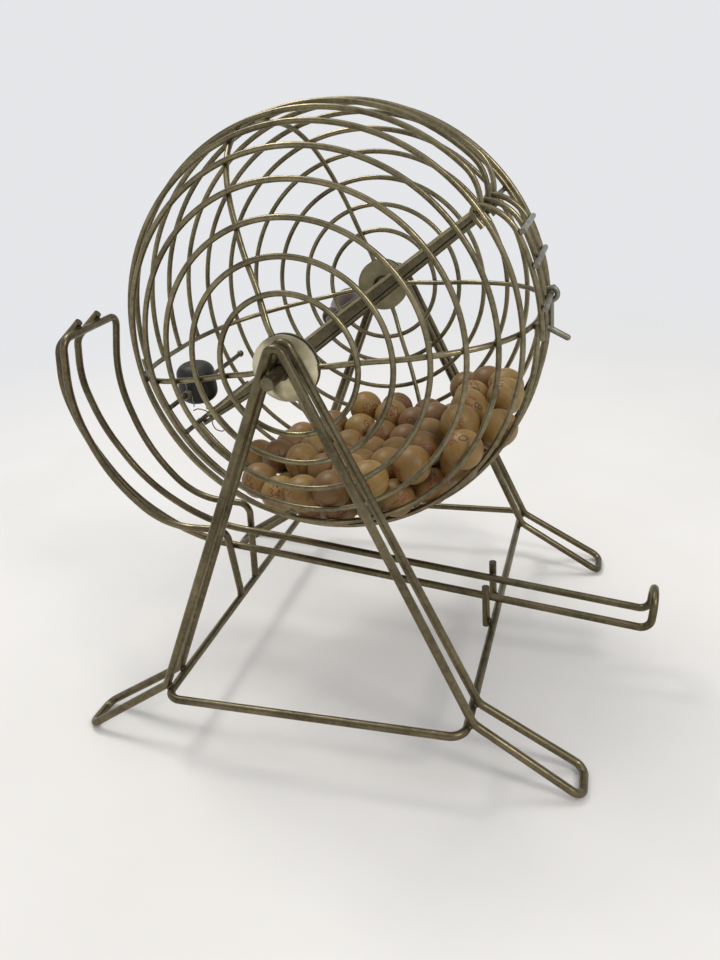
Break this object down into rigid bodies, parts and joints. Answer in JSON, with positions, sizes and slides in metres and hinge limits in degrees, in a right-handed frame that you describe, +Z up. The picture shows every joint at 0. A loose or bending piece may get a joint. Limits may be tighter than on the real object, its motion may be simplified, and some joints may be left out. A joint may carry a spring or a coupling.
{
  "type": "raffle drum with crank",
  "caption": "Round wire cage of numbered balls, turned by a crank between two wire A-frames, with a ball trap, a loading door and a wire chute with a stop at its end.",
  "frame": {"origin": "on the table, at the centre of the base rectangle", "axes": "+Z up, +X along the chute towards its stop, +Y from the front A-frame towards the crank"},
  "size_m": [0.3807, 0.3452, 0.3447],
  "materials": {
    "stand wire": "satin",
    "cage wire": "satin",
    "hub metal": "satin",
    "bearing brass": "satin",
    "plain steel": "satin",
    "trough sheet": "satin",
    "trap rubber": "matte",
    "grip wood": "gloss",
    "ball wood": "satin"
  },
  "bodies": {
    "stand": {"front_a_frame": "stand wire", "rear_a_frame": "stand wire", "base_frame": "stand wire", "rear_sleeve": "bearing brass", "front_spindle": "plain steel", "chute_floor_wire": "stand wire", "chute_guard_wire": "stand wire", "chute_support_posts": "stand wire"},
    "cage": {"front_hub_dome": "hub metal", "front_hub_disc": "hub metal", "front_hub_bush": "bearing brass", "rear_hub_dome": "hub metal", "rear_hub_disc": "hub metal", "rear_hub_bush": "bearing brass", "exit_ring_doubler": "cage wire", "exit_bar": "cage wire", "door_hinge_bar": "cage wire", "ball_trough": "trough sheet", "trough_rails": "cage wire", "trap_rod": "cage wire", "crank": "plain steel", "grip_washer": "plain steel", "balls": "ball wood", "rib_top": "cage wire", "rib_exit_side": "cage wire", "rib_bottom": "cage wire", "rib_door_side": "cage wire", "ring_01": "cage wire", "ring_02": "cage wire", "ring_03": "cage wire", "ring_04": "cage wire", "ring_05": "cage wire", "ring_06": "cage wire", "ring_07": "cage wire", "ring_08": "cage wire", "ring_09": "cage wire", "ring_10": "cage wire", "ring_11": "cage wire", "ring_12": "cage wire", "ring_13": "cage wire", "ring_14": "cage wire", "ring_15": "cage wire", "ring_16": "cage wire"},
    "trap": {"trap_weight": "trap rubber", "trap_finger": "plain steel", "trap_spring": "plain steel"},
    "door": {"door_wires": "cage wire", "door_cross_wires": "cage wire"},
    "latch": {"door_latch": "cage wire"},
    "grip": {"crank_grip": "grip wood"}
  },
  "joints": [
    {"name": "cage_turn", "type": "hinge", "parent": "stand", "child": "cage", "pos_m": [-0.00336, 0, 0.2242], "axis": [0, 1, 0], "continuous": true},
    {"name": "grip_spin", "type": "hinge", "parent": "cage", "child": "grip", "pos_m": [-0.05964, 0.172, 0.18971], "axis": [0, 1, 0], "continuous": true},
    {"name": "trap_swing", "type": "hinge", "parent": "cage", "child": "trap", "pos_m": [-0.10615, 0, 0.18049], "axis": [0.0497, 0.9975, 0.0509], "range_deg": [-15, 15], "stiffness_Nm_per_rad": 0.02},
    {"name": "door_swing", "type": "hinge", "parent": "cage", "child": "door", "pos_m": [0.08486, 0, 0.28713], "axis": [0, -1, 0], "range_deg": [0, 100]},
    {"name": "latch_swing", "type": "hinge", "parent": "door", "child": "latch", "pos_m": [0.11812, -0.0072, 0.23912], "axis": [0, -1, 0], "range_deg": [0, 20], "stiffness_Nm_per_rad": 0.004, "springref_deg": -11.46}
  ]
}
